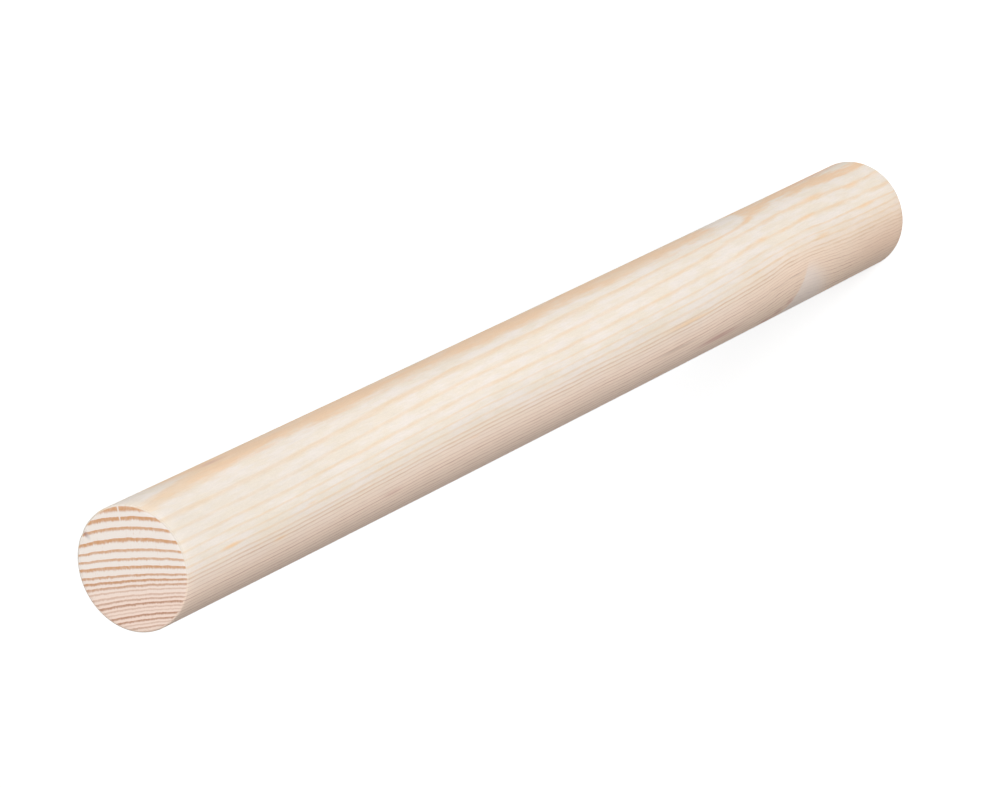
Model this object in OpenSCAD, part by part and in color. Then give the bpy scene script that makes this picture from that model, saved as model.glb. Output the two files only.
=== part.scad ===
// Softwood dowel rod, turned round and sawn off square at both ends.
// It stands on one sawn end. The origin is the middle of that end,
// and the axis of the rod runs up along +Z.

/* [Rod] */
// Diameter of the turned rod
rod_d = 25; // [6:0.5:60]
// Length from one sawn end to the other
rod_len = 300; // [20:1:1200]

/* [Sanded arrises] */
// How far each arris reaches in across the sawn end
arris_in = 0.35; // [0.1:0.05:1.5]
// How far each arris reaches along the side of the rod
arris_along = 0.35; // [0.1:0.05:1.5]

/* [Hidden] */
// Facets of the turned surfaces in a preview
turned_fn = 128;
rod_r = rod_d / 2;
sawn_r = rod_r - arris_in;
wood_colour = [0.91, 0.82, 0.71];

// Half of the rod's lengthwise section, on the +X side of its axis:
// a sawn end, an arris, the turned side, an arris and the other sawn end.
module half_section() {
    polygon([
        [0, 0],
        [sawn_r, 0],
        [rod_r, arris_along],
        [rod_r, rod_len - arris_along],
        [sawn_r, rod_len],
        [0, rod_len]
    ]);
}

// The whole rod, turned about +Z from its half section
module dowel_rod() {
    color(wood_colour)
        rotate_extrude($fn = turned_fn)
            half_section();
}

dowel_rod();
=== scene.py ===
# %% [markdown]
# # A softwood dowel rod
#
# A dowel rod is about the plainest thing that a turner makes: one straight stick of pine or
# spruce, run through a rounding cutter and sawn off square. There is no second piece to hide
# behind, so all of its character is in the wood. This lesson builds the rod as a mesh first, then
# grows the tree's rings through it as a solid pattern, and last lights it on a white floor.
#
# Sizes are in metres, as Blender works. The patterns in the wood are thought out in millimetres,
# because growth rings are measured that way.

# %% Load the frame
import math
import bpy
from mathutils import Matrix, Vector


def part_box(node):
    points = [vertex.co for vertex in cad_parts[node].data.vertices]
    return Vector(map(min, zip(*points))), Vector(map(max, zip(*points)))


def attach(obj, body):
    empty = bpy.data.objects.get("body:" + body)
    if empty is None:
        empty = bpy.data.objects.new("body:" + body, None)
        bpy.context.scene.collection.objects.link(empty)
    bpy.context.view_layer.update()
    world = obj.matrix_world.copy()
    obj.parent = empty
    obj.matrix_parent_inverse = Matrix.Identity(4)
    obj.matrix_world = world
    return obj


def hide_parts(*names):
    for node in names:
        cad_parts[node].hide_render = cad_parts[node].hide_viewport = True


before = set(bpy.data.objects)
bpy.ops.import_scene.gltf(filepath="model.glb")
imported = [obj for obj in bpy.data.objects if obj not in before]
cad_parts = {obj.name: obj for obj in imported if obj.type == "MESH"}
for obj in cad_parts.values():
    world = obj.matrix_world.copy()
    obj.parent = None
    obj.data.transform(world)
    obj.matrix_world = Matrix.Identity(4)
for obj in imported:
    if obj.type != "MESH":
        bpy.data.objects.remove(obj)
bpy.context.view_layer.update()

MM = 0.001
rod_low, rod_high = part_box("dowel_rod")
ROD_RADIUS = (rod_high.x - rod_low.x) / 2
ROD_LENGTH = rod_high.z - rod_low.z
print(f"rod: {2 * ROD_RADIUS / MM:.1f} mm across, {ROD_LENGTH / MM:.1f} mm long")

# %% [markdown]
# ## The turned stick
#
# The real rod starts as a round stick with two sawn ends, and a cylinder primitive is just that.
# It could be used as it is, but then the arris would be a perfect knife edge and the side would
# have no rows of its own, so nothing could bow or dent. So the primitive gets its arrises broken
# with a bevel, its ends divided into rings with insets, and its side cut into rows.
#
# Everything is deselected before a primitive is added, because Blender's operators act on all
# that is selected.

# %% Helpers that select parts of a mesh by place
def start_clean():
    """Deselects everything, so that the next operator acts on the new piece alone."""
    bpy.ops.object.select_all(action="DESELECT")


def pick(piece, kind, test):
    """Selects, in edit mode, the vertices, edges or faces of a piece that pass a test."""
    bpy.ops.object.mode_set(mode="EDIT")
    bpy.ops.mesh.select_mode(type=kind)
    bpy.ops.mesh.select_all(action="DESELECT")
    bpy.ops.object.mode_set(mode="OBJECT")
    mesh = piece.data
    parts = {"VERT": mesh.vertices, "EDGE": mesh.edges, "FACE": mesh.polygons}[kind]
    chosen = 0
    for part in parts:
        part.select = bool(test(part))
        chosen += part.select
    bpy.ops.object.mode_set(mode="EDIT")
    return chosen


def edge_heights(piece, edge):
    """The heights of an edge's two ends, lower one first."""
    return sorted(piece.data.vertices[i].co.z for i in edge.vertices)


print("objects that the frame leaves selected:", len(bpy.context.selected_objects))

# %% Turn the stick
SIDES = 224

start_clean()
bpy.ops.mesh.primitive_cylinder_add(
    vertices=SIDES,
    radius=ROD_RADIUS,
    depth=ROD_LENGTH,
    end_fill_type="NGON",
    location=(0, 0, ROD_LENGTH / 2),
)
rod = bpy.context.object
rod.name = "softwood_dowel"
bpy.ops.object.transform_apply(location=True, rotation=True, scale=True)
print("sides:", SIDES, "faces:", len(rod.data.polygons))

# %% [markdown]
# ## Broken arrises
#
# A sawn end leaves an edge that splinters, so it gets a rub with fine paper. That takes off about
# a third of a millimetre and leaves it slightly round. A bevel of the two rim loops with three
# segments makes the same shape. The rims are chosen by their height, since both ends of every rim
# edge lie at the same end of the rod.

# %% Break both arrises
ARRIS = 0.35 * MM
ARRIS_SEGMENTS = 3
NEAR = 1e-5


def is_rim(edge):
    """True for an edge that lies in one of the two sawn ends."""
    low, high = edge_heights(rod, edge)
    return high < NEAR or low > ROD_LENGTH - NEAR


rims = pick(rod, "EDGE", is_rim)
bpy.ops.mesh.bevel(
    offset=ARRIS,
    offset_type="OFFSET",
    segments=ARRIS_SEGMENTS,
    profile=0.5,
    affect="EDGES",
)
bpy.ops.object.mode_set(mode="OBJECT")
print("rim edges beveled:", rims, "faces now:", len(rod.data.polygons))

# %% [markdown]
# ## Rows along the side, rings on the ends
#
# Subdividing only the upright edges cuts the side into level rows, because an edge subdivision
# joins its new points across the faces between them. The ends are inset again and again, each time
# a little further in, and the last face is poked to a point so that no large many-sided face is
# left.

# %% Cut the side into rows
ROWS = 100


def is_upright(edge):
    """True for a long edge of the turned side."""
    low, high = edge_heights(rod, edge)
    return high - low > ROD_LENGTH / 2


uprights = pick(rod, "EDGE", is_upright)
bpy.ops.mesh.subdivide(number_cuts=ROWS - 1)
bpy.ops.object.mode_set(mode="OBJECT")
print("upright edges:", uprights, "rows:", ROWS)

# %% Divide both sawn ends into rings
END_RINGS = 14
END_RING_WIDTH = (ROD_RADIUS - ARRIS) / (END_RINGS + 1)


def is_end_face(face):
    """True for the one many-sided face of a sawn end."""
    return len(face.vertices) > 4


ends = pick(rod, "FACE", is_end_face)
for ring in range(END_RINGS):
    bpy.ops.mesh.inset(thickness=END_RING_WIDTH, use_individual=True)
bpy.ops.mesh.poke()
bpy.ops.object.mode_set(mode="OBJECT")
print("ends:", ends, "faces with rows and rings:", len(rod.data.polygons))

# %% [markdown]
# ## The marks of real life
#
# No stick stays dead straight once it is off the lathe. This one has sprung sideways by less than
# a third of a millimetre, which is just enough to see along its edge. Proportional editing does it
# as a hand would: one ring of points at the middle is pushed, and its neighbours follow. The
# inverse-square falloff drops off as a parabola, which is the shape of an even bow, and it leaves
# both ends where they were.
#
# The rim has been knocked once, so a few points beside it are pushed in with a much smaller
# radius.

# %% Spring the rod slightly
BOW = 0.29 * MM


def is_middle(vertex):
    """True for a point of the row half way up."""
    return abs(vertex.co.z - ROD_LENGTH / 2) < NEAR


middle = pick(rod, "VERT", is_middle)
bpy.ops.transform.translate(
    value=(-BOW, 0, 0),
    use_proportional_edit=True,
    proportional_edit_falloff="INVERSE_SQUARE",
    proportional_size=ROD_LENGTH / 2,
)
bpy.ops.object.mode_set(mode="OBJECT")
print("points at the middle:", middle, "bow in mm:", round(BOW / MM, 2))

# %% Knock the rim
KNOCK_ANGLE = math.radians(34)
KNOCK_DEPTH = 0.12 * MM
KNOCK_REACH = 0.9 * MM
knock_place = Vector((
    ROD_RADIUS * math.cos(KNOCK_ANGLE),
    ROD_RADIUS * math.sin(KNOCK_ANGLE),
    ROD_LENGTH,
))


def is_knocked(vertex):
    """True for the few points at the rim that the knock landed on."""
    return (vertex.co - knock_place).length < ARRIS


knocked = pick(rod, "VERT", is_knocked)
inward = Vector((-math.cos(KNOCK_ANGLE), -math.sin(KNOCK_ANGLE), -1)).normalized()
bpy.ops.transform.translate(
    value=inward * KNOCK_DEPTH,
    use_proportional_edit=True,
    proportional_edit_falloff="SMOOTH",
    proportional_size=KNOCK_REACH,
)
bpy.ops.object.mode_set(mode="OBJECT")
print("rim points knocked:", knocked)

# %% [markdown]
# ## Smooth side, crisp ends
#
# The side and the arris should shade as one round surface, and the flat ends should meet the
# arris without a smear. Smoothing by angle does both, since the last strip of the arris meets
# the end at a shallow angle and the ends' own faces are flat.

# %% Shade by angle
SMOOTH_BELOW = math.radians(40)

start_clean()
rod.select_set(True)
bpy.context.view_layer.objects.active = rod
bpy.ops.object.shade_smooth_by_angle(angle=SMOOTH_BELOW)
triangles = sum(len(face.vertices) - 2 for face in rod.data.polygons)
print("triangles:", triangles)

# %% [markdown]
# ## Wood is a solid pattern
#
# A tree adds one sheath of wood a year: pale, soft early wood in spring, then a thin, dense, dark
# line of late wood in autumn. The rod cuts straight through some twenty of those sheaths. A flat
# picture wrapped round it would never meet up at the arris, but a pattern that fills space does:
# every line on a sawn end runs over the edge and down the side, as it does in the real stick.
#
# So the first thing to build is a small helper that wires nodes together, and the second is one
# node group that says, for any point in the wood, which ring it is in and how far out through
# that ring it lies.

# %% A helper that writes node trees
MIX_FIRST = 6  # in a Mix node, the sockets for colours come after others of the same names
MIX_SECOND = 7
MIX_RESULT = 2


class Pattern:
    """Adds nodes to one tree, and wires or sets each input as it goes."""

    def __init__(self, tree):
        self.tree = tree

    def feed(self, socket, value):
        """Links an output to a socket, or sets the socket to a plain value."""
        if isinstance(value, bpy.types.NodeSocket):
            self.tree.links.new(value, socket)
        else:
            socket.default_value = value

    def node(self, kind, inputs=(), **settings):
        """One node with its settings, and its inputs given as (name or number, value) pairs."""
        made = self.tree.nodes.new(kind)
        for name, value in settings.items():
            setattr(made, name, value)
        for name, value in inputs:
            self.feed(made.inputs[name], value)
        return made

    def math(self, operation, *values):
        """A Math node's result."""
        return self.node("ShaderNodeMath", enumerate(values), operation=operation).outputs[0]

    def product(self, first, *others):
        """All the values multiplied."""
        for other in others:
            first = self.math("MULTIPLY", first, other)
        return first

    def vector(self, operation, *values):
        """A Vector Math node's vector."""
        made = self.node("ShaderNodeVectorMath", enumerate(values), operation=operation)
        return made.outputs["Vector"]

    def parts(self, vector):
        """The three numbers of a vector."""
        return self.node("ShaderNodeSeparateXYZ", [(0, vector)]).outputs

    def fade(self, value, start, end, low=0.0, high=1.0, how="SMOOTHSTEP"):
        """A step from low at start to high at end, smooth unless asked to be straight."""
        pairs = [("Value", value), ("From Min", start), ("From Max", end)]
        pairs += [("To Min", low), ("To Max", high)]
        return self.node("ShaderNodeMapRange", pairs, interpolation_type=how).outputs["Result"]

    def noise(self, place, stretch, detail=2.0, roughness=0.5):
        """Noise from -1 to 1, with stretch as its lumps per millimetre along each axis."""
        scaled = self.vector("MULTIPLY", place, stretch)
        pairs = [("Vector", scaled), ("Scale", 1.0), ("Detail", detail), ("Roughness", roughness)]
        value = self.node("ShaderNodeTexNoise", pairs).outputs[0]
        return self.math("MULTIPLY_ADD", value, 2.0, -1.0)

    def curve(self, value, points):
        """A curve drawn through straight-sided points, both ways from 0 to 1."""
        made = self.node("ShaderNodeFloatCurve", [("Value", value)])
        drawn = made.mapping.curves[0]
        while len(drawn.points) < len(points):
            drawn.points.new(0.5, 0.5)
        for point, (across, up) in zip(drawn.points, points):
            point.location = (across, up)
            point.handle_type = "VECTOR"
        made.mapping.update()
        return made.outputs["Value"]

    def blend(self, amount, first, second):
        """A colour between two colours."""
        pairs = [("Factor", amount), (MIX_FIRST, first), (MIX_SECOND, second)]
        return self.node("ShaderNodeMix", pairs, data_type="RGBA").outputs[MIX_RESULT]


print("node helpers:", [name for name in vars(Pattern) if not name.startswith("_")])

# %% [markdown]
# ## The ring table
#
# The rings are listed from the bark side inwards, in millimetres. The tree grew fast when these
# outer rings were laid down, about two millimetres a year, and slowly before that, about three
# quarters. Each row says how wide the ring is, how much of it is late wood, and how dark that late
# wood is. Listing the rings one by one beats a random spacing: the jump from slow to fast growth
# is the first thing the eye reads on the sawn end.

# %% The rings, from the bark side inwards
RINGS = [
    (1.70, 0.40, 0.90),
    (2.05, 0.49, 1.00),
    (2.00, 0.38, 1.00),
    (2.15, 0.30, 0.92),
    (2.15, 0.36, 1.00),
    (1.75, 0.33, 0.85),
    (1.55, 0.34, 0.82),
    (1.70, 0.38, 0.95),
    (1.05, 0.46, 0.88),
    (1.00, 0.48, 1.00),
    (0.90, 0.52, 0.85),
    (0.95, 0.34, 0.50),
    (0.80, 0.48, 0.55),
    (0.85, 0.44, 0.72),
    (0.85, 0.54, 1.00),
    (0.70, 0.46, 0.48),
    (0.70, 0.42, 0.36),
    (1.00, 0.44, 1.00),
    (0.75, 0.52, 0.98),
    (0.70, 0.44, 0.42),
    (0.80, 0.46, 0.70),
    (0.75, 0.45, 0.55),
    (0.80, 0.50, 0.90),
    (0.80, 0.42, 0.50),
    (0.85, 0.48, 0.85),
]
OUTERMOST = 14.0
RING_TOTAL = sum(width for width, share, depth in RINGS)
INNERMOST = OUTERMOST - RING_TOTAL
RING_COUNT = len(RINGS)
print(f"{RING_COUNT} rings, {RING_TOTAL:.1f} mm in all")

# %% Curves drawn from the table
RING_WIDTH = 0
LATE_SHARE = 1
LATE_DEPTH = 2
rings_outwards = RINGS[::-1]


def ring_edges():
    """Points of a curve that counts the rings passed on the way outwards."""
    points = [(0.0, 0.0)]
    passed = 0.0
    for number, ring in enumerate(rings_outwards, start=1):
        passed += ring[RING_WIDTH]
        points.append((passed / RING_TOTAL, number / RING_COUNT))
    return points


def ring_values(column):
    """Points of a curve that holds one column of the table, one point at each ring's middle."""
    return [
        ((number + 0.5) / RING_COUNT, ring[column])
        for number, ring in enumerate(rings_outwards)
    ]


print("points that count the rings:", len(ring_edges()))

# %% [markdown]
# ## From a point to its ring
#
# Several things bend the sheaths inside the rod, and the next cells add them one by one. All of
# them work in millimetres, in wood that is turned so that growth runs along X.
#
# First of all the sheaths are curved, because the pith lay off to one side. The slow inner ones
# are nearly flat, and lean a little instead.

# %% Curved sheaths
GROWTH_TURN = math.radians(19.5)
CURVING = 0.0121
CURVING_GAIN = 0.00087
SLOW_TILT = 0.009
SLOW_TILT_FROM = 0.5


def turned_to_growth(pattern, place):
    """A place, turned so that the tree grew towards +X."""
    pairs = [("Vector", place), ("Angle", GROWTH_TURN)]
    return pattern.node("ShaderNodeVectorRotate", pairs, rotation_type="Z_AXIS").outputs[0]


def arched_distance(pattern, out, across):
    """How far out of the tree a point lies, counted across the curved sheaths."""
    curving = pattern.math("MULTIPLY_ADD", out, CURVING_GAIN, CURVING)
    squared = pattern.product(across, across)
    half = pattern.product(curving, squared, 0.5)
    return pattern.math("ADD", out, half)


def slow_tilt(pattern, arched, across):
    """What the slow inner sheaths lean by."""
    slow = pattern.math("MINIMUM", pattern.math("SUBTRACT", arched, SLOW_TILT_FROM), 0.0)
    return pattern.product(slow, across, -SLOW_TILT)


print(f"the middle sheath curves round a pith {1 / CURVING:.0f} mm away")

# %% [markdown]
# ## Drift along the rod
#
# A stick is never sawn quite in line with its tree, so the sheaths drift across the rod along its
# length. On top of that the outermost and the innermost sheaths each wander a little by
# themselves. That shapes the long amber flames on one side of the rod and the narrow arches on
# the other.
#
# No formula describes that. Each drift is a short list of heights and drifts in millimetres,
# joined up by one Float Curve node, which is quicker to shape than any sum of waves.

# %% Drift of all the sheaths
DRIFT_REACH = 4.0
DRIFT = [
    (0, -2.5), (18, -2.65), (30, -2.9), (46, -3.1), (62, -2.9),
    (72, -2.6), (82, -2.1), (95, -1.7), (118, -1.35), (155, -1.0),
    (190, -1.15), (215, -0.85), (240, -0.35), (262, 0.05), (300, 0.0),
]


def drawn_drift(pattern, height, points):
    """A drift in millimetres, read from a drawn curve of (height, drift)."""
    drawn = [(z * MM / ROD_LENGTH, 0.5 + w / DRIFT_REACH / 2) for z, w in points]
    level = pattern.math("SUBTRACT", pattern.curve(height, drawn), 0.5)
    return pattern.product(level, DRIFT_REACH * 2)


drifts = [w for z, w in DRIFT]
print("all sheaths drift from", min(drifts), "to", max(drifts), "mm")

# %% Drift of the outermost and the innermost sheaths
CREST_SHEATHS = (10.6, 11.8)
CREST_DRIFT = [
    (0, 0.2), (42, 0.3), (54, 0.6), (62, 1.5),
    (72, 1.8), (84, 1.3), (98, 1.0), (118, 0.8),
    (140, 0.5), (172, 0.55), (200, 0.35), (230, 0.1),
    (245, -0.45), (266, -0.65), (283, -0.4), (300, 0.1),
]
HEART_SHEATHS = (3.5, 0.5)
HEART_DRIFT = [
    (0, 0.0), (85, 0.05), (100, 0.25), (126, 0.2),
    (140, -0.12), (235, -0.12), (262, 0.0), (300, 0.0),
]


def drift_of_some(pattern, height, points, arched, sheaths):
    """A drift of only some sheaths, given as where it starts and where it is full."""
    reached = pattern.fade(arched, *sheaths)
    return pattern.product(drawn_drift(pattern, height, points), reached)


print("own drifts beyond", CREST_SHEATHS[0], "mm and below", HEART_SHEATHS[0], "mm")

# %% [markdown]
# ## A bend near the skin
#
# Towards the skin the sheaths bend once more, most of all half way round the rod. The bend
# follows the square of the distance from the line of growth, so it fades away inside the wood.
# Its list says how much each sheath bends, from the heart side out.

# %% A bend near the skin
BEND_SPAN = 26.0
SURFACE_BEND = [
    (-12, 0.3), (-8.5, 0.35), (-5.5, -0.05), (-2.5, -0.4), (0.5, -0.48),
    (3.5, -0.33), (6.7, 0.10), (9.5, 0.09), (12.5, 0.0),
]


def surface_bend(pattern, arched, across):
    """What the sheaths bend by near the skin."""
    drawn = [(s / BEND_SPAN + 0.5, 0.5 + bend) for s, bend in SURFACE_BEND]
    where = pattern.math("MULTIPLY_ADD", arched, 1 / BEND_SPAN, 0.5)
    bend = pattern.math("SUBTRACT", pattern.curve(where, drawn), 0.5)
    share = pattern.math("DIVIDE", across, ROD_RADIUS / MM)
    return pattern.product(bend, pattern.product(share, share))


print("strongest bend at the skin:", max(abs(bend) for s, bend in SURFACE_BEND), "mm")

# %% [markdown]
# ## A swelling round a knot
#
# A knot sits just under the surface near the foot, and the sheaths swell round it. A soft
# ellipsoid says how near the knot a point lies. The same helper serves for every stain later.

# %% A swelling round the knot
KNOT_PLACE = (-8.0, -9.6, 50.0)
KNOT_SPREAD = (11.3, 11.3, 24.0)
KNOT_PUSH = -1.8


def nearness(pattern, place, centre, spread):
    """1 at a centre, falling smoothly to 0 at the edge of an ellipsoid round it."""
    offset = pattern.vector("SUBTRACT", place, centre)
    shares = pattern.vector("DIVIDE", offset, spread)
    length = pattern.node("ShaderNodeVectorMath", [(0, shares)], operation="LENGTH")
    return pattern.fade(length.outputs["Value"], 1.0, 0.0)


def knot_swelling(pattern, place):
    """What the sheaths are pushed aside by round the knot."""
    knot = nearness(pattern, place, KNOT_PLACE, KNOT_SPREAD)
    return pattern.product(knot, KNOT_PUSH)


print("knot", KNOT_PLACE[2], "mm above the foot, pushing by", abs(KNOT_PUSH), "mm")

# %% [markdown]
# ## Wavering
#
# Growth is never quite even. A slow noise makes the sheaths wander and a quick one ripples them.
# Both get stronger towards the foot, where the knot makes the grain wild.

# %% Wavering
WANDER_LUMPS = (0.25, 0.45, 0.07)
WANDER_HEIGHT = 0.20
WANDER_WILDER = 2.2
RIPPLE_LUMPS = (0.9, 1.3, 0.25)
RIPPLE_HEIGHT = 0.08
RIPPLE_WILDER = 3.4
WILD_GRAIN = (95.0, 45.0)


def wander_and_ripple(pattern, grown, up):
    """What the sheaths waver by, slowly and quickly."""
    slow = pattern.noise(grown, WANDER_LUMPS)
    quick = pattern.noise(grown, RIPPLE_LUMPS, roughness=0.6)
    wilder = pattern.fade(up, *WILD_GRAIN, 1.0, WANDER_WILDER)
    ruffled = pattern.fade(up, *WILD_GRAIN, 1.0, RIPPLE_WILDER)
    wander = pattern.product(slow, WANDER_HEIGHT, wilder)
    ripple = pattern.product(quick, RIPPLE_HEIGHT, ruffled)
    return wander, ripple


print("wander:", WANDER_HEIGHT, "mm, and", WANDER_WILDER, "times as much near the foot")

# %% [markdown]
# ## One distance for every point
#
# The bends add up to one distance out from the pith side. The group looks it up in the ring table
# and gives each finish the place, the place turned to growth, how far through its ring a point
# lies, and how wide and how dark that ring's late wood is. It also says how near the heart a
# point lies, where the wood has another colour. At the foot that begins a little further in.

# %% All the bends together
def add_growth_distance(pattern, place):
    """How far out from the pith side a point lies, in millimetres, with every bend added."""
    grown = turned_to_growth(pattern, place)
    out, across, up = pattern.parts(grown)
    height = pattern.math("DIVIDE", up, ROD_LENGTH / MM)
    arched = arched_distance(pattern, out, across)
    wander, ripple = wander_and_ripple(pattern, grown, up)
    bends = [
        slow_tilt(pattern, arched, across),
        surface_bend(pattern, arched, across),
        drawn_drift(pattern, height, DRIFT),
        drift_of_some(pattern, height, CREST_DRIFT, arched, CREST_SHEATHS),
        drift_of_some(pattern, height, HEART_DRIFT, arched, HEART_SHEATHS),
        knot_swelling(pattern, place),
        wander,
        ripple,
    ]
    total = arched
    for bend in bends:
        total = pattern.math("ADD", total, bend)
    return total, grown


print("rings looked up between", round(INNERMOST, 1), "and", OUTERMOST, "mm")

# %% Build the group
HEART_SIDE = (1.5, -7.5)
FOOT_SHIFT = 1.5
FOOT_HEIGHTS = (48.0, 24.0)


def heart_share(pattern, place, distance):
    """0 in the outer wood, 1 at the heart side."""
    up = pattern.parts(place)[2]
    shift = pattern.fade(up, *FOOT_HEIGHTS, 0.0, FOOT_SHIFT)
    return pattern.fade(pattern.math("ADD", distance, shift), *HEART_SIDE)


def make_growth_group():
    """The node group that every finish of this rod reads its rings from."""
    group = bpy.data.node_groups.new("growth_rings", "ShaderNodeTree")
    pattern = Pattern(group)
    object_place = pattern.node("ShaderNodeTexCoord").outputs["Object"]
    place = pattern.vector("MULTIPLY", object_place, (1 / MM, 1 / MM, 1 / MM))
    distance, grown = add_growth_distance(pattern, place)
    share_out = pattern.math("SUBTRACT", distance, INNERMOST)
    counted = pattern.curve(pattern.math("DIVIDE", share_out, RING_TOTAL), ring_edges())
    passed = pattern.product(counted, RING_COUNT)
    whole = pattern.math("FLOOR", passed)
    middle = pattern.math("DIVIDE", pattern.math("ADD", whole, 0.5), RING_COUNT)
    results = [
        ("Place", "NodeSocketVector", place),
        ("Grown", "NodeSocketVector", grown),
        ("Phase", "NodeSocketFloat", pattern.math("FRACT", passed)),
        ("Late share", "NodeSocketFloat", pattern.curve(middle, ring_values(LATE_SHARE))),
        ("Late depth", "NodeSocketFloat", pattern.curve(middle, ring_values(LATE_DEPTH))),
        ("Heart", "NodeSocketFloat", heart_share(pattern, place, distance)),
    ]
    for name, kind, result in results:
        group.interface.new_socket(name, in_out="OUTPUT", socket_type=kind)
    pattern.node("NodeGroupOutput", [(name, result) for name, kind, result in results])
    return group


growth_rings = make_growth_group()
print("growth group nodes:", len(growth_rings.nodes))

# %% [markdown]
# ## Late wood inside a ring
#
# Late wood begins softly and stops dead: the tree slides into autumn, and next spring starts at
# once with thin-walled wood. So the mask rises slowly, and falls again within the last part of
# the ring. On a sawn end that fall is nearly a step. On the side the cutter slices the fibres at
# a low angle and smears it, so there it takes a fifth of the ring. A little noise roughens the
# soft side only.

# %% The late wood mask
SOFT_START = 1.40
SOFT_END = 0.65
ROUGHENED = 0.45
SAWN_STOP = 0.94
TURNED_STOP = 0.80


def late_wood(pattern, rings, roughening, full_stop, thinning=1.0):
    """1 in late wood and 0 in early wood. Full strength ends at full_stop of the ring."""
    share = pattern.product(rings.outputs["Late share"], thinning)
    start = pattern.math("MULTIPLY_ADD", share, -SOFT_START, 1.0)
    end = pattern.math("MULTIPLY_ADD", share, -SOFT_END, 1.0)
    rough = pattern.product(roughening, share, ROUGHENED)
    phase = pattern.math("ADD", rings.outputs["Phase"], rough)
    rise = pattern.fade(phase, start, end)
    stop = pattern.fade(rings.outputs["Phase"], 1.0, full_stop)
    return pattern.product(rise, stop)


print("late wood lasts to", SAWN_STOP, "of a ring on the ends,", TURNED_STOP, "on the side")

# %% [markdown]
# ## What both finishes share
#
# Bare wood has no varnish, so both finishes are rough and hardly shine. Late wood is harder and
# stands a hundredth of a millimetre or two above early wood. A bump does for that, since no eye
# could find it in the outline.

# %% Helpers for a finish
BUMP_STRENGTH = 0.7


def new_finish(name):
    """A material with a Principled shader and the growth group."""
    material = bpy.data.materials.new(name)
    material.use_nodes = True
    pattern = Pattern(material.node_tree)
    rings = pattern.node("ShaderNodeGroup", node_tree=growth_rings)
    shader = material.node_tree.nodes["Principled BSDF"]
    return material, pattern, shader, rings


def set_surface(pattern, shader, colour, shine, roughness, relief):
    """Colour, shine, roughness, and a relief in millimetres."""
    bump = pattern.node("ShaderNodeBump", [("Height", relief), ("Distance", MM)])
    pattern.feed(bump.inputs["Strength"], BUMP_STRENGTH)
    pattern.feed(shader.inputs["Base Color"], colour)
    pattern.feed(shader.inputs["Specular IOR Level"], shine)
    pattern.feed(shader.inputs["Roughness"], roughness)
    pattern.feed(shader.inputs["Normal"], bump.outputs[0])


print("bump strength:", BUMP_STRENGTH)

# %% [markdown]
# ## Sawn end grain
#
# The end shows the mouths of the wood's cells, which soak up light, so the late wood is much
# darker here than on the side. Close up, its inner edge is a stubble of fine radial lines, and
# small dark ticks lie along the rays in the pale wood. Both are noises stretched along the
# growth direction.
#
# Two small accidents belong to this end. A short check, filled with pale sawdust, breaks the dark
# lines near the rim, and the knock has left a brown bruise. Beside the bruise, a grey patch of
# painted shade stands for the shadow in the little dent.

# %% Dark lines of the end grain
END_EARLY = (0.875, 0.800, 0.740, 1)
END_LATE = (0.640, 0.345, 0.185, 1)
END_EARLY_HEART = (0.895, 0.715, 0.615, 1)
END_LATE_HEART = (0.510, 0.290, 0.200, 1)
STUBBLE = (0.9, 3.4, 0.3)
STUBBLE_SHARE = 0.30
BLOTCHES = (1.3, 1.1, 0.3)
BLOTCH_SHARE = 0.30
BLOTCH_LEVEL = 0.95


def end_lines(pattern, rings, grown, late, stubble):
    """How strongly late wood shows on an end: by its ring, blotched and stubbly."""
    blotch = pattern.noise(grown, BLOTCHES)
    uneven = pattern.math("MULTIPLY_ADD", blotch, BLOTCH_SHARE, BLOTCH_LEVEL)
    ray = pattern.math("MULTIPLY_ADD", stubble, STUBBLE_SHARE, 1.0)
    return pattern.product(late, pattern.product(rings.outputs["Late depth"], uneven, ray))


print("late wood on the ends:", END_LATE[:3], "and at the heart:", END_LATE_HEART[:3])

# %% Ticks and the pale check
TICKS = (0.8, 2.6, 0.2)
TICK_RANGE = (0.30, 0.55)
TICK_SHARE = 0.24
CHECK_ACROSS = 0.75
CHECK_EDGE = (0.26, 0.08)
CHECK_REACH = (8.9, 9.9)
CHECK_WOBBLE = (0.9, 0.1, 0.1)
CHECK_SWING = 0.12
CHECK_CLOSES = 0.85


def broken_by_check(pattern, grown, amount):
    """An amount of late wood, nearly gone along a short wobbly line near the rim."""
    out, across = pattern.parts(grown)[:2]
    wobble = pattern.product(pattern.noise(grown, CHECK_WOBBLE, detail=1.0), CHECK_SWING)
    off_check = pattern.math("SUBTRACT", pattern.math("ADD", across, wobble), CHECK_ACROSS)
    check = pattern.fade(pattern.math("ABSOLUTE", off_check), *CHECK_EDGE)
    check = pattern.product(check, pattern.fade(out, *CHECK_REACH))
    closed = pattern.math("MULTIPLY_ADD", check, -CHECK_CLOSES, 1.0)
    return pattern.product(amount, closed)


def ticked(pattern, grown, colour):
    """Lays the small dark ticks over a colour."""
    tick = pattern.fade(pattern.noise(grown, TICKS, detail=1.0), *TICK_RANGE)
    return pattern.blend(pattern.product(tick, TICK_SHARE), colour, END_LATE)


print("check runs in from the rim to", CHECK_REACH[0], "mm")

# %% The bruise that the knock left, and painted shade beside its dent
BRUISE = (0.43, 0.26, 0.22, 1)
# The grey below is painted shade: it darkens the end beside the bruise, where the knocked dent
# lies in shadow.
PAINTED_DENT_SHADE = (0.55, 0.52, 0.52, 1)
KNOCK_MARKS = [
    ((9.65, 6.35, 300.0), (0.85, 0.75, 2.0), 0.9, BRUISE),
    ((9.05, 6.05, 300.0), (1.00, 0.70, 2.0), 0.5, PAINTED_DENT_SHADE),
]


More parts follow.
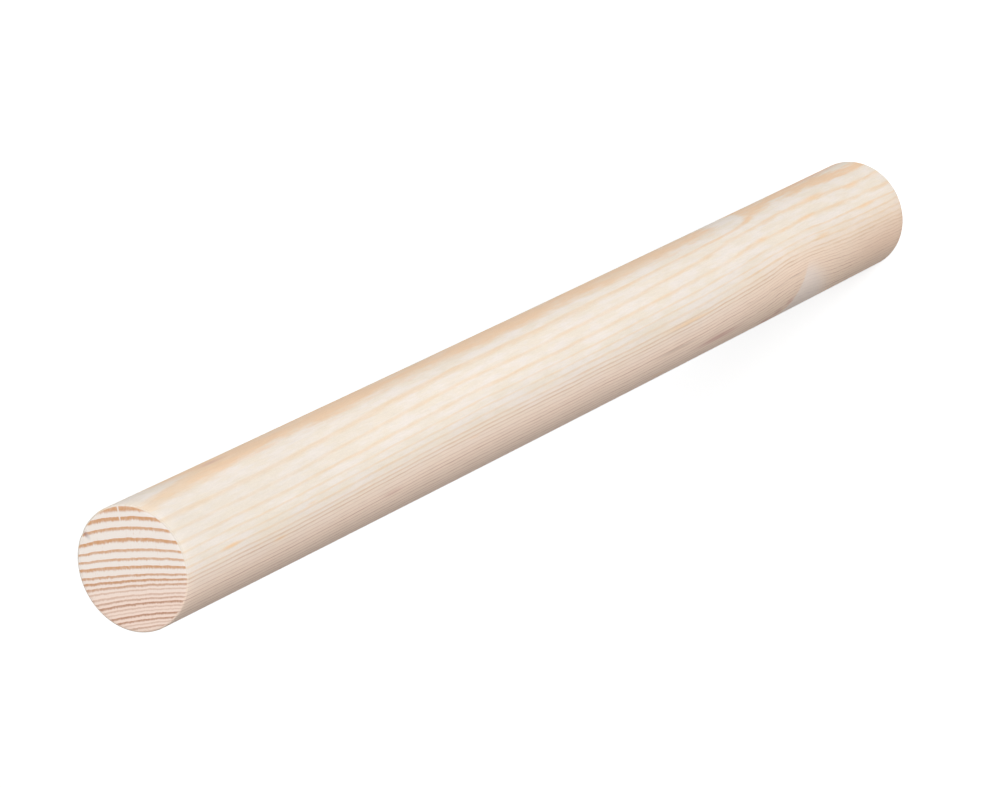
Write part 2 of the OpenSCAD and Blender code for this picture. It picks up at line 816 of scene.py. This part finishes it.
def marked(pattern, place, colour, marks):
    """Lays soft marks over a colour, each with a centre, a spread, a strength and a colour."""
    for centre, spread, strength, mark in marks:
        amount = pattern.product(nearness(pattern, place, centre, spread), strength)
        colour = pattern.blend(amount, colour, mark)
    return colour


print("marks beside the knock:", len(KNOCK_MARKS))

# %% Put the end grain together
END_SHINE = 0.12
END_ROUGHNESS = 0.78
END_LATE_SMOOTHER = 0.10
END_LATE_RELIEF = 0.020
STUBBLE_RELIEF = 0.010


def end_grain():
    """The finish of both sawn ends."""
    material, pattern, shader, rings = new_finish("end_grain")
    place = rings.outputs["Place"]
    grown = rings.outputs["Grown"]
    heart = rings.outputs["Heart"]
    stubble = pattern.noise(grown, STUBBLE, roughness=0.6)
    late = late_wood(pattern, rings, stubble, SAWN_STOP)
    amount = end_lines(pattern, rings, grown, late, stubble)
    amount = broken_by_check(pattern, grown, amount)
    early = pattern.blend(heart, END_EARLY, END_EARLY_HEART)
    dark = pattern.blend(heart, END_LATE, END_LATE_HEART)
    colour = pattern.blend(amount, early, dark)
    colour = ticked(pattern, grown, colour)
    # Marks of the knock: a brown bruise, and painted shade beside the dent.
    colour = marked(pattern, place, colour, KNOCK_MARKS)
    roughness = pattern.math("MULTIPLY_ADD", late, -END_LATE_SMOOTHER, END_ROUGHNESS)
    relief = pattern.product(stubble, STUBBLE_RELIEF)
    relief = pattern.math("MULTIPLY_ADD", late, END_LATE_RELIEF, relief)
    set_surface(pattern, shader, colour, END_SHINE, roughness, relief)
    return material


sawn_finish = end_grain()
print("end grain nodes:", len(sawn_finish.node_tree.nodes))

# %% [markdown]
# ## Turned side grain
#
# Along the side the same rings show as long lines, faint and thin where the cutter crosses them.
# Where it runs along one of them, the late wood lies open as a broad amber sheet with scalloped
# edges. The ring table alone puts it there, and only its strength is raised along the crest,
# where the surface faces straight out of the tree.
#
# The slow rings at the heart side are pinker and their late wood browner, so every colour is
# blended from an outer one to an inner one, and the crest has a late wood colour of its own. The
# slow rings also lie so close that the cutter leaves them all about equally dark, like pinstripes.

# %% The open sheet along the crest
CREST_FACES = (10.2, 12.0)
CREST_TOP = (300.0, 268.0)
CREST_AT_TOP = 0.35
CREST_PATCHES = (0.25, 0.25, 0.04)
CREST_PATCHED = 0.9


def crest_share(pattern, grown, up, out):
    """How nearly the side faces out of the tree: about 1 along the crest, in patches."""
    facing = pattern.fade(out, *CREST_FACES)
    fainter = pattern.fade(up, *CREST_TOP, CREST_AT_TOP, 1.0)
    patches = pattern.noise(grown, CREST_PATCHES)
    patches = pattern.math("MULTIPLY_ADD", patches, CREST_PATCHED, 1.0)
    return pattern.product(facing, fainter, patches)


print("crest where the wood lies more than", CREST_FACES[0], "mm out")

# %% Late wood along the side
SIDE_LATE = (0.820, 0.618, 0.418, 1)
SIDE_LATE_CREST = (0.850, 0.615, 0.425, 1)
SIDE_LATE_HEART = (0.600, 0.355, 0.280, 1)
SCALLOPS = (0.8, 0.8, 0.15)
SLOW_RINGS = (0.2, 0.9)
SLOW_THINNED = 0.46


def side_late_wood(pattern, rings):
    """The mask of late wood on the side: scalloped, and thinner in the slow rings."""
    scallop = pattern.noise(rings.outputs["Grown"], SCALLOPS, detail=3.0, roughness=0.6)
    thinning = pattern.fade(rings.outputs["Heart"], *SLOW_RINGS, 1.0, SLOW_THINNED)
    return late_wood(pattern, rings, scallop, TURNED_STOP, thinning)


def late_colours(pattern, crest, heart):
    """The colour of late wood on the side, other along the crest and at the heart side."""
    dark = pattern.blend(crest, SIDE_LATE, SIDE_LATE_CREST)
    return pattern.blend(heart, dark, SIDE_LATE_HEART)


print("late wood on the side:", SIDE_LATE[:3], "and at the heart:", SIDE_LATE_HEART[:3])

# %% The depth of each line
EVEN_DEPTH = 0.84
EVEN_PULL = 0.75
EVEN_HEART = (0.0, 0.5)


def evened_depth(pattern, rings):
    """How dark each ring's late wood is, with the slow rings drawn towards one depth."""
    depth = rings.outputs["Late depth"]
    short_of_even = pattern.math("SUBTRACT", EVEN_DEPTH, depth)
    pull = pattern.fade(rings.outputs["Heart"], *EVEN_HEART, 0.0, EVEN_PULL)
    return pattern.math("MULTIPLY_ADD", short_of_even, pull, depth)


print("slow rings drawn towards a depth of", EVEN_DEPTH)

# %% The strength of the lines
PLAIN_LINES = 0.54
CREST_LINES = 0.45
HEART_LINES = (0.20, 0.60)
HEART_LINES_RISE = (50.0, 85.0)
BEADS = (0.5, 0.5, 0.09)
BEADED = 0.45
FLAMES_BELOW = (100.0, 60.0)
FLAMES = 0.55
FOOT_BELOW = (90.0, 55.0)
FOOT_LINES = 0.10
BACK_SKIN = (-12.2, -10.5)
BACK_LINES = 0.55


def line_strength(pattern, grown, up, out, heart, crest):
    """How strongly late wood shows at each place of the side, beaded by a stretched noise."""
    strength = pattern.math("MULTIPLY_ADD", crest, CREST_LINES, PLAIN_LINES)
    heart_lines = pattern.fade(up, *HEART_LINES_RISE, *HEART_LINES)
    heart_lines = pattern.product(heart, heart_lines)
    strength = pattern.math("ADD", heart_lines, strength)
    beads = pattern.noise(grown, BEADS)
    strength = pattern.math("MULTIPLY_ADD", beads, BEADED, strength)
    flames = pattern.product(beads, pattern.fade(up, *FLAMES_BELOW, 0.0, FLAMES))
    strength = pattern.math("ADD", strength, flames)
    foot = pattern.fade(up, *FOOT_BELOW, 0.0, FOOT_LINES)
    strength = pattern.math("ADD", strength, foot)
    return pattern.product(strength, pattern.fade(out, *BACK_SKIN, BACK_LINES, 1.0))


print("plain lines:", PLAIN_LINES, "of full strength, and", CREST_LINES, "more along the crest")

# %% [markdown]
# ## Pale wood and its sheen
#
# Early wood is mottled, pinker at the heart side and warmer near the knot. Over everything lies a
# faint sheen of long fibres, broad patches and a fine sanded tooth, which only changes the
# brightness. The last third of a millimetre at both arrises is a shade darker: that is painted
# shade, which tones down the light that the rounded arris catches from the lamp.

# %% Colours of the pale wood
SIDE_EARLY = (0.830, 0.740, 0.630, 1)
SIDE_EARLY_PALE = (0.850, 0.775, 0.710, 1)
SIDE_EARLY_HEART = (0.950, 0.755, 0.620, 1)
FOOT_AMBER = (0.915, 0.715, 0.560, 1)
MOTTLE = (0.6, 0.6, 0.11)
MOTTLE_RANGE = (-0.25, 0.30)
FOOT_WARMTH = 0.70
WARM_SIDE = (7.0, -2.0)


def early_colours(pattern, grown, up, out, heart):
    """The pale wood of the side: mottled, pinker at the heart side, warmer near the foot."""
    mottle = pattern.noise(grown, MOTTLE, detail=3.0, roughness=0.6)
    mottle = pattern.fade(mottle, *MOTTLE_RANGE)
    early = pattern.blend(mottle, SIDE_EARLY, SIDE_EARLY_PALE)
    early = pattern.blend(heart, early, SIDE_EARLY_HEART)
    warmth = pattern.fade(up, *WILD_GRAIN, 0.0, FOOT_WARMTH)
    warmth = pattern.product(warmth, pattern.fade(out, *WARM_SIDE))
    return pattern.blend(warmth, early, FOOT_AMBER)


print("pale wood:", SIDE_EARLY[:3], "and at the heart:", SIDE_EARLY_HEART[:3])

# %% Sheen, and painted shade on the rims
FIBRES = (3.5, 3.5, 0.30)
FIBRE_SHEEN = 0.075
PATCHES = (0.30, 0.30, 0.06)
PATCH_SHEEN = 0.035
TOOTH = (4.0, 4.0, 2.5)
TOOTH_SHEEN = 0.065
# Painted shade at both arrises: their last strip is darkened to tone down the light they catch.
RIM_SHADE = 0.90
RIM_SHADE_FROM = 0.42
RIM_SHADE_FULLY = 0.30


def sheen_of_fibres(pattern, place, fibre):
    """Brightness from 0.9 to 1.1: long fibres, broad patches and a fine sanded tooth."""
    patches = pattern.noise(place, PATCHES)
    tooth = pattern.noise(place, TOOTH, roughness=0.6)
    light = pattern.math("MULTIPLY_ADD", fibre, FIBRE_SHEEN, 1.0)
    light = pattern.math("MULTIPLY_ADD", patches, PATCH_SHEEN, light)
    return pattern.math("MULTIPLY_ADD", tooth, TOOTH_SHEEN, light)


def rim_brightness(pattern, up):
    """1 along the side, and a shade less in the last strip at each arris: painted shade over the
    light that the arris catches.
    """
    half = ROD_LENGTH / MM / 2
    from_middle = pattern.math("ABSOLUTE", pattern.math("SUBTRACT", up, half))
    return pattern.fade(from_middle, half - RIM_SHADE_FROM, half - RIM_SHADE_FULLY, 1.0, RIM_SHADE)


print("arrises darkened to", RIM_SHADE)

# %% [markdown]
# ## Stains that a tree leaves, and one painted shade
#
# A few marks do not follow the ring table: amber flecks where resin has bled, some threads of
# brown and red, the dark edge of the knot and a rosy foot. One more, a broad grey-brown wash over
# the lamp side near the upper end, is painted shade that tones down the light there. Each is a
# soft ellipsoid set on the surface, given by its turn round the rod in degrees, its height, half
# width and half length in millimetres, its strength and its colour. Being solid as well, they do
# not stretch, and a list like this is easy to thin out or add to.

# %% Flecks and threads
RESIN = (0.900, 0.560, 0.260, 1)
RED_STAIN = (0.620, 0.340, 0.290, 1)
ROSE_STAIN = (0.780, 0.520, 0.380, 1)
BROWN_THREAD = (0.420, 0.270, 0.210, 1)
# This grey-brown is painted shade. The first row below uses it to darken the lamp side near the
# upper end.
PAINTED_TOP_SHADE = (0.600, 0.550, 0.480, 1)
STAINS = [
    # Painted shade, not a stain: a broad darkening of the lamp side near the upper end.
    (-74, 300.0, 8.50, 110.0, 0.36, PAINTED_TOP_SHADE),
    (-110, 284.5, 0.60, 5.0, 0.60, RESIN),
    (-125, 268.0, 0.50, 3.5, 0.45, RESIN),
    (-108, 256.0, 0.40, 3.0, 0.35, RESIN),
    (-121, 195.0, 0.40, 3.5, 0.35, RESIN),
    (-163, 112.0, 0.80, 6.0, 0.40, RESIN),
    (-20, 269.0, 1.30, 6.0, 0.40, RED_STAIN),
    (-136, 226.0, 0.90, 6.0, 0.35, RED_STAIN),
    (-133, 155.0, 0.28, 26.0, 0.55, BROWN_THREAD),
    (-136, 109.0, 0.60, 14.0, 0.55, BROWN_THREAD),
    (-114, 104.0, 0.55, 16.0, 0.55, RESIN),
    (-149, 88.0, 1.40, 15.0, 0.65, RED_STAIN),
    (-170, 61.0, 2.60, 4.5, 0.65, RED_STAIN),
    (-161, 57.0, 2.00, 3.6, 0.60, RED_STAIN),
    (-151, 53.5, 1.80, 2.6, 0.50, RED_STAIN),
    (-127, 72.0, 0.35, 9.0, 0.25, BROWN_THREAD),
    (-124, 63.0, 0.35, 8.0, 0.25, BROWN_THREAD),
    (-121, 54.0, 0.35, 7.0, 0.35, BROWN_THREAD),
    (-71, 62.0, 0.90, 5.0, 0.35, RESIN),
    (-95, 38.0, 0.70, 5.0, 0.35, RESIN),
    (-70, 40.0, 1.00, 6.0, 0.35, RESIN),
    (-60, 14.0, 1.20, 6.0, 0.35, RESIN),
    (-10, 14.0, 2.60, 26.0, 0.65, ROSE_STAIN),
    (-132, 10.0, 7.50, 28.0, 0.33, ROSE_STAIN),
    (-52, 31.0, 1.20, 9.0, 0.50, RESIN),
    (-86, 15.0, 0.70, 8.0, 0.45, RESIN),
]

stain_marks = []
for turn, height, half_width, half_length, strength, stain in STAINS:
    side = ROD_RADIUS / MM * math.cos(math.radians(turn))
    back = ROD_RADIUS / MM * math.sin(math.radians(turn))
    spread = (half_width, half_width, half_length)
    stain_marks.append(((side, back, height), spread, strength, stain))
print("stains:", len(stain_marks))

# %% [markdown]
# ## The knot that did not quite surface
#
# Near the foot a side branch passes just under the skin. The rings swell over it, and where the
# cutter skims the turned-up fibres they show as a pale, slightly greyed patch with one crisp
# edge, because they are cut across instead of along. The patch is a product of soft steps in
# place: two in height, both slanting, and two across. The rings still show faintly through it.
#
# That is the last part of the side grain, and the cell after it puts all of them together.

# %% The skimmed knot
KNOT_GREY = (0.900, 0.800, 0.745, 1)
KNOT_COVERS = 0.64
KNOT_QUIETS = 0.10
KNOT_RAGGED = (0.6, 0.6, 0.3)
KNOT_RAGGED_BY = 0.9
KNOT_TOP = (44.3, 42.7)
KNOT_TOP_SLANT = 0.75
KNOT_BASE = (50.0, 61.0)
KNOT_BASE_SLANT = -1.7
KNOT_SIDE = (-3.0, -7.5)
KNOT_FRONT = (6.0, -3.0)


def skimmed_knot(pattern, place):
    """1 where the fibres are cut across, beside the hidden knot."""
    side, back, up = pattern.parts(place)
    ragged = pattern.noise(place, KNOT_RAGGED, detail=3.0, roughness=0.6)
    height = pattern.math("MULTIPLY_ADD", ragged, KNOT_RAGGED_BY, up)
    top_line = pattern.math("MULTIPLY_ADD", side, KNOT_TOP_SLANT, height)
    base_line = pattern.math("MULTIPLY_ADD", side, KNOT_BASE_SLANT, height)
    below = pattern.fade(top_line, *KNOT_TOP)
    above = pattern.fade(base_line, *KNOT_BASE)
    across = pattern.fade(side, *KNOT_SIDE)
    in_front = pattern.fade(back, *KNOT_FRONT)
    return pattern.product(below, above, across, in_front)


print("knot patch colour:", KNOT_GREY[:3])

# %% Put the side grain together
SIDE_SHINE = 0.05
SIDE_ROUGHNESS = 0.66
SIDE_LATE_SMOOTHER = 0.12
SIDE_LATE_RELIEF = 0.012
FIBRE_RELIEF = 0.006


def side_grain():
    """The finish of the turned side and of both arrises."""
    material, pattern, shader, rings = new_finish("side_grain")
    place = rings.outputs["Place"]
    grown = rings.outputs["Grown"]
    heart = rings.outputs["Heart"]
    up = pattern.parts(place)[2]
    out = pattern.parts(grown)[0]
    late = side_late_wood(pattern, rings)
    crest = crest_share(pattern, grown, up, out)
    strength = line_strength(pattern, grown, up, out, heart, crest)
    knot = skimmed_knot(pattern, place)
    quiet = pattern.math("MULTIPLY_ADD", knot, -KNOT_QUIETS, 1.0)
    amount = pattern.product(late, evened_depth(pattern, rings), strength, quiet)
    early = early_colours(pattern, grown, up, out, heart)
    colour = pattern.blend(amount, early, late_colours(pattern, crest, heart))
    colour = pattern.blend(pattern.product(knot, KNOT_COVERS), colour, KNOT_GREY)
    # The stains, the first of which is painted shade near the upper end.
    colour = marked(pattern, place, colour, stain_marks)
    fibre = pattern.noise(place, FIBRES, detail=3.0, roughness=0.65)
    light = sheen_of_fibres(pattern, place, fibre)
    # Painted shade: the arrises are darkened where they catch the lamp.
    light = pattern.product(light, rim_brightness(pattern, up))
    even = pattern.node("ShaderNodeCombineXYZ", [(0, light), (1, light), (2, light)])
    colour = pattern.vector("MULTIPLY", colour, even.outputs[0])
    roughness = pattern.math("MULTIPLY_ADD", late, -SIDE_LATE_SMOOTHER, SIDE_ROUGHNESS)
    relief = pattern.product(fibre, FIBRE_RELIEF)
    relief = pattern.math("MULTIPLY_ADD", late, SIDE_LATE_RELIEF, relief)
    set_surface(pattern, shader, colour, SIDE_SHINE, roughness, relief)
    return material


turned_finish = side_grain()
print("side grain nodes:", len(turned_finish.node_tree.nodes))

# %% [markdown]
# ## One mesh, two finishes
#
# Both finishes go on the same mesh, in two material slots, and each face names the one it wears.
# The side grain covers the turned side and both arrises, since the paper that broke them left
# them as smooth as the side. Only the flat faces inside the rims are sawn.

# %% Dress the rod
TURNED_SLOT = 0
SAWN_SLOT = 1
rod.data.materials.clear()
rod.data.materials.append(turned_finish)
rod.data.materials.append(sawn_finish)


def is_sawn(face):
    """True for a face of the flat part of a sawn end."""
    at_end = face.center.z < ARRIS / 2 or face.center.z > ROD_LENGTH - ARRIS / 2
    return at_end and math.hypot(face.center.x, face.center.y) < ROD_RADIUS - ARRIS


for face in rod.data.polygons:
    face.material_index = SAWN_SLOT if is_sawn(face) else TURNED_SLOT
print("sawn faces:", sum(is_sawn(face) for face in rod.data.polygons))

# %% [markdown]
# ## Unroll the rod for other programs
#
# A solid pattern needs no unrolling here, but a game engine or a viewer does: it wants the colour
# as a picture. The turned side becomes one tall strip, cut open along the back, and the two sawn
# ends become discs stacked in the column that is left. Nothing overlaps, and a millimetre takes
# about the same space in both directions everywhere.

# %% A strip and two discs
STRIP_WIDTH = 0.68
DISC_ACROSS = 0.843
DISC_RADIUS = 0.150
LOWER_DISC = 0.25
UPPER_DISC = 0.75
EDGE_GAP = 0.004
SEAM = math.radians(90)


def on_disc(spot, row):
    """Where a point of a sawn end lands on the map."""
    across = DISC_ACROSS + DISC_RADIUS * spot.x / ROD_RADIUS
    up = row + DISC_RADIUS * spot.y / ROD_RADIUS
    return across, up


def on_strip(spot, middle):
    """Where a point of the side lands, on the same side of the cut as its face's middle."""
    turn = math.atan2(spot.y, spot.x) - SEAM
    turn += math.tau * round((middle - turn) / math.tau)
    across = EDGE_GAP + (STRIP_WIDTH - 2 * EDGE_GAP) * turn / math.tau
    up = EDGE_GAP + (1 - 2 * EDGE_GAP) * spot.z / ROD_LENGTH
    return across, up


def unroll(piece):
    """Writes the map named OFBake: a strip for the side, a disc for each sawn end."""
    mesh = piece.data
    layer = mesh.uv_layers.new(name="OFBake")
    for face in mesh.polygons:
        middle = (math.atan2(face.center.y, face.center.x) - SEAM) % math.tau
        row = UPPER_DISC if face.center.z > ROD_LENGTH / 2 else LOWER_DISC
        for corner in face.loop_indices:
            spot = mesh.vertices[mesh.loops[corner].vertex_index].co
            if face.material_index == SAWN_SLOT:
                layer.data[corner].uv = on_disc(spot, row)
            else:
                layer.data[corner].uv = on_strip(spot, middle)
    mesh.uv_layers.active = layer


while rod.data.uv_layers:
    rod.data.uv_layers.remove(rod.data.uv_layers[0])
unroll(rod)
print("unrolled corners:", len(rod.data.loops))

# %% [markdown]
# ## A white studio
#
# The rod stands on a wide white floor. A large soft lamp hangs beyond the camera's shoulder, so
# that its shadow falls mostly behind the rod. A weak sky fills in the rest, stronger on the right
# than on the left, which leaves the rod one side clearly in shade and so makes it look round. The
# floor and the sky are a clean white only where they are seen, by the camera itself, in gloss or
# through glass. Light Path tells those rays apart, so no extra light falls on the wood.

# %% Lay the floor
FLOOR_SIZE = 8.0
FLOOR_COLOUR = (0.56, 0.56, 0.56, 1)
FLOOR_GLOW = 0.63


def shows_white(pattern):
    """1 for rays from the camera, off gloss or through glass, and 0 for those that only light."""
    path = pattern.node("ShaderNodeLightPath").outputs
    bounced = pattern.math("MAXIMUM", path["Is Glossy Ray"], path["Is Transmission Ray"])
    return pattern.math("MAXIMUM", path["Is Camera Ray"], bounced)


def white_floor_paint():
    """A matt white that glows a little where it is seen, and still takes the rod's shadow."""
    material = bpy.data.materials.new("white_floor")
    material.use_nodes = True
    material.node_tree.nodes.clear()
    pattern = Pattern(material.node_tree)
    matt = pattern.node("ShaderNodeBsdfDiffuse", [("Color", FLOOR_COLOUR)])
    strength = pattern.product(shows_white(pattern), FLOOR_GLOW)
    glow = pattern.node("ShaderNodeEmission", [("Strength", strength)])
    both = pattern.node("ShaderNodeAddShader", [(0, matt.outputs[0]), (1, glow.outputs[0])])
    pattern.node("ShaderNodeOutputMaterial", [("Surface", both.outputs[0])])
    return material


start_clean()
bpy.ops.mesh.primitive_plane_add(size=FLOOR_SIZE, location=(0, 0, 0))
floor = bpy.context.object
floor.name = "white_floor"
floor.data.materials.append(white_floor_paint())
print("floor laid,", FLOOR_SIZE, "m wide")

# %% Fill with a weak white sky
SKY_FILL_LEFT = 0.04
SKY_FILL_RIGHT = 0.67


def white_sky():
    """White wherever it is seen, and a weak fill for the wood, weaker at -X."""
    world = bpy.data.worlds.new("white_sky")
    world.use_nodes = True
    pattern = Pattern(world.node_tree)
    towards = pattern.node("ShaderNodeTexCoord").outputs["Generated"]
    side = pattern.parts(towards)[0]
    fill = pattern.fade(side, -1.0, 1.0, SKY_FILL_LEFT, SKY_FILL_RIGHT, how="LINEAR")
    strength = pattern.fade(shows_white(pattern), 0.0, 1.0, fill, 1.0, how="LINEAR")
    sky = world.node_tree.nodes["Background"]
    pattern.feed(sky.inputs["Color"], (1, 1, 1, 1))
    pattern.feed(sky.inputs["Strength"], strength)
    return world


bpy.context.scene.world = white_sky()
print("sky fill:", SKY_FILL_LEFT, "to", SKY_FILL_RIGHT)

# %% Hang the soft lamp
LAMP_AZIMUTH = math.radians(-81)
LAMP_ELEVATION = math.radians(46)
LAMP_DISTANCE = 3.2
LAMP_SIZE = 2.0
LAMP_POWER = 97.0
rod_middle = Vector((0, 0, ROD_LENGTH / 2))


def hang_soft_lamp():
    """A square soft box, aimed at the middle of the rod."""
    data = bpy.data.lights.new("soft_lamp", "AREA")
    data.shape = "SQUARE"
    data.size = LAMP_SIZE
    data.energy = LAMP_POWER
    lamp = bpy.data.objects.new("soft_lamp", data)
    bpy.context.collection.objects.link(lamp)
    towards = Vector((
        math.cos(LAMP_ELEVATION) * math.cos(LAMP_AZIMUTH),
        math.cos(LAMP_ELEVATION) * math.sin(LAMP_AZIMUTH),
        math.sin(LAMP_ELEVATION),
    ))
    lamp.location = rod_middle + LAMP_DISTANCE * towards
    lamp.rotation_euler = (-towards).to_track_quat("-Z", "Y").to_euler()
    return lamp


lamp = hang_soft_lamp()
print("lamp at", [round(c, 2) for c in lamp.location])

# %% [markdown]
# ## The camera
#
# The camera looks down on the upper end from fairly far away through a long lens, so that the
# rod hardly tapers. It is rolled a long way round its own view, which lays the standing rod
# across the picture with its top end at the lower left.

# %% Place the camera
LENS = 203.5
VIEW_ELEVATION = math.radians(55.94)
VIEW_ROLL = math.radians(116.22)
VIEW_DISTANCE = 1.1705
AIM = Vector((-0.00106, 0.00004, 0.16393))


def place_camera():
    """Looks at AIM from the front, and rolls the picture round the line of sight."""
    data = bpy.data.cameras.new("camera")
    data.lens = LENS
    camera = bpy.data.objects.new("camera", data)
    bpy.context.collection.objects.link(camera)
    ahead = Vector((0, math.cos(VIEW_ELEVATION), -math.sin(VIEW_ELEVATION)))
    upright = ahead.to_track_quat("-Z", "Y").to_matrix().to_4x4()
    camera.matrix_world = (
        Matrix.Translation(AIM - VIEW_DISTANCE * ahead)
        @ Matrix.Rotation(VIEW_ROLL, 4, ahead)
        @ upright
    )
    return camera


bpy.context.scene.camera = place_camera()
print("camera at", [round(c, 3) for c in bpy.context.scene.camera.matrix_world.translation])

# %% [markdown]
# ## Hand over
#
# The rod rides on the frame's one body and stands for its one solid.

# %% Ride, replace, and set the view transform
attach(rod, "root")
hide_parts("dowel_rod")
bpy.context.scene.view_settings.view_transform = "Standard"
print("handed over:", rod.name)
